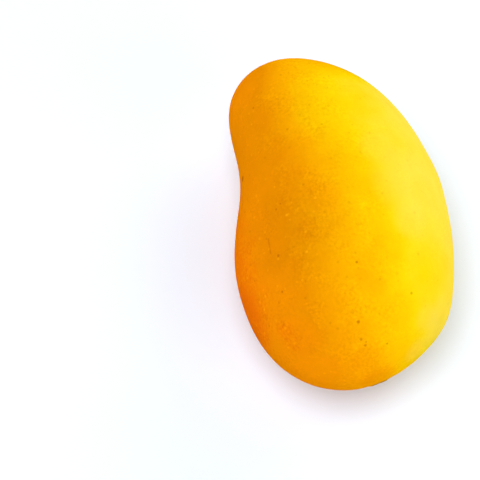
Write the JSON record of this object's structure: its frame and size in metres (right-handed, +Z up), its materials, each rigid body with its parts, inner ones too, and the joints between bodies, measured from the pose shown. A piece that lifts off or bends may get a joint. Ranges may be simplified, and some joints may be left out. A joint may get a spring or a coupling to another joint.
{
  "type": "mango",
  "caption": "Ripe kidney-shaped yellow mango lying on its cheek: broad stem end with a small corky scar, narrower rounded tip, and a hollow front with a tiny beak.",
  "frame": {"origin": "on the surface that the fruit rests on, under the middle of its box", "axes": "+Y from the stem end to the tip, along the fruit; +X to the rounded back, -X to the hollow front; +Z up, cheek to cheek"},
  "size_m": [0.0736, 0.118, 0.0603],
  "materials": {
    "skin": "smooth, waxy, softly satin fruit skin, orange at the front and lemon yellow at the back, finely speckled"
  },
  "bodies": {
    "root": {"mango": "skin"}
  },
  "joints": []
}
